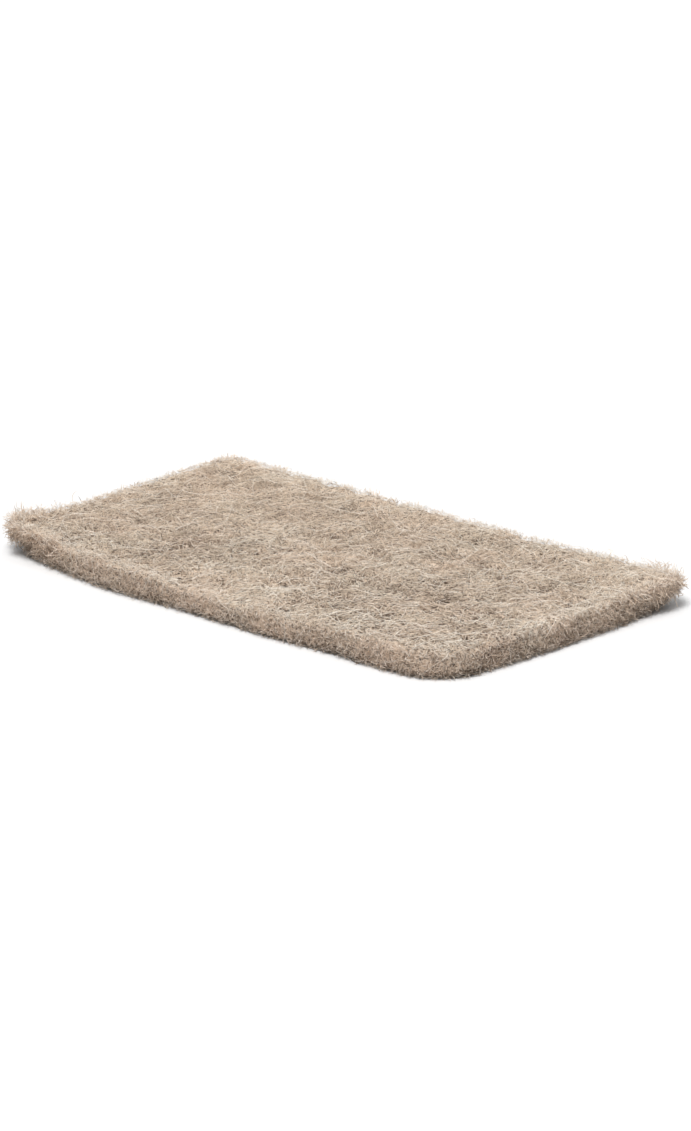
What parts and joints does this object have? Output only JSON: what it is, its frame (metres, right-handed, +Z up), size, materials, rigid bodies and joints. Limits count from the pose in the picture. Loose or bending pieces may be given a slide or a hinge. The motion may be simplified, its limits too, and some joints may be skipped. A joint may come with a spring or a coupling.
{
  "type": "sisal scouring pad",
  "caption": "Flat rectangular hand pad of felted sisal fibre with rounded corners and soft rims, for scouring and scrubbing by hand.",
  "frame": {"origin": "middle of the flat underside, which lies at z = 0", "axes": "+X along the pad's length, +Y across its width, +Z up through its thickness"},
  "size_m": [0.153, 0.0878, 0.009],
  "materials": {
    "sisal_felt": "matt felted plant fibre"
  },
  "bodies": {
    "root": {"scouring_pad": "sisal_felt"}
  },
  "joints": []
}
